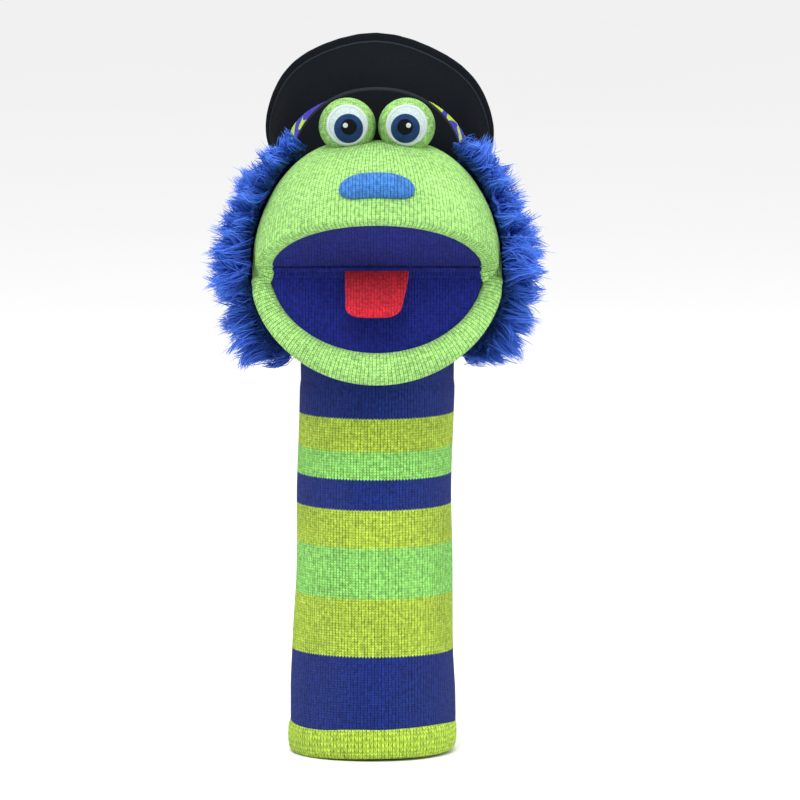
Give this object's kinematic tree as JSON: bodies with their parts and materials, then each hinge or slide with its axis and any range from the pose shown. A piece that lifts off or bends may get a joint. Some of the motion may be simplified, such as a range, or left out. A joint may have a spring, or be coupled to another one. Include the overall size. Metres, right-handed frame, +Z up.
{
  "type": "sock puppet",
  "caption": "Knitted hand puppet with a striped arm sleeve, a wide hinged mouth, a tongue, ball eyes, a shaggy fur mane and a soft flat cap with a turned-up visor.",
  "frame": {"origin": "centre of the arm opening at the sleeve's lower edge", "axes": "+Z up along the sleeve towards the head; the face looks along -Y; +X is the side on the right of a viewer who faces the puppet"},
  "size_m": [0.1802, 0.1962, 0.3963],
  "materials": {
    "sleeve_stripes": "striped plain knit in royal blue, lime and bright green",
    "blue_knit": "plain knit",
    "lime_knit": "thick rolled knit",
    "green_knit": "fine plain knit",
    "red_knit": "plain knit",
    "nose_knit": "plain knit",
    "stuffing": "fibre filling",
    "pocket_lining": "plain woven lining",
    "stiff_board": "thin flexible board",
    "white_stitching": "felt with a satin-stitched rim",
    "blue_stitching": "embroidery",
    "black_stitching": "embroidery",
    "fur": "long shaggy pile",
    "fur_backing": "knitted pile backing",
    "patterned_band": "woven band in violet blue and lime",
    "black_cloth": "smooth brushed cloth",
    "black_trim": "bound edge"
  },
  "bodies": {
    "sleeve": {"sleeve_knit": "sleeve_stripes", "cuff_hem": "lime_knit"},
    "neck": {"neck_knit": "blue_knit"},
    "head": {"head_cover": "green_knit", "head_padding": "stuffing", "finger_pocket": "pocket_lining", "upper_mouth_panel": "blue_knit", "upper_mouth_board": "stiff_board", "nose_cover": "nose_knit", "nose_stuffing": "stuffing", "eye_ball_left": "green_knit", "eye_ball_right": "green_knit", "eye_stuffing_left": "stuffing", "eye_stuffing_right": "stuffing", "eye_white_left": "white_stitching", "eye_white_right": "white_stitching", "eye_iris_left": "blue_stitching", "eye_iris_right": "blue_stitching", "eye_pupil_left": "black_stitching", "eye_pupil_right": "black_stitching", "eye_glint_left": "white_stitching", "eye_glint_right": "white_stitching", "mane_backing": "fur_backing", "mane_pile": "fur", "cap_band": "patterned_band", "cap_sweatband": "black_cloth", "cap_padding": "stuffing", "cap_crown_under": "black_cloth", "cap_crown_top": "black_cloth", "visor_front": "black_cloth", "visor_board": "stiff_board", "visor_back": "black_cloth", "visor_piping": "black_trim"},
    "jaw": {"jaw_lip": "green_knit", "jaw_lip_stuffing": "stuffing", "lower_mouth_panel": "blue_knit", "lower_mouth_board": "stiff_board", "thumb_pocket": "pocket_lining", "chin_cover": "green_knit"},
    "tongue": {"tongue_cover": "red_knit", "tongue_stuffing": "stuffing"}
  },
  "joints": [
    {"name": "neck_turn", "type": "hinge", "parent": "sleeve", "child": "neck", "pos_m": [0, 0, 0.205], "axis": [0, 0, 1], "range_deg": [-35, 35]},
    {"name": "neck_nod", "type": "hinge", "parent": "neck", "child": "head", "pos_m": [0, 0, 0.215], "axis": [1, 0, 0], "range_deg": [-8, 12]},
    {"name": "jaw_hinge", "type": "hinge", "parent": "head", "child": "jaw", "pos_m": [0, -0.05, 0.272], "axis": [-1, 0, 0], "range_deg": [-2, 91]},
    {"name": "tongue_flap", "type": "hinge", "parent": "jaw", "child": "tongue", "pos_m": [0, -0.05, 0.272], "axis": [-1, 0, 0], "range_deg": [-29, 2]}
  ],
  "couplings": [
    {"joint": "tongue_flap", "follows": "jaw_hinge", "ratio": -0.313}
  ]
}
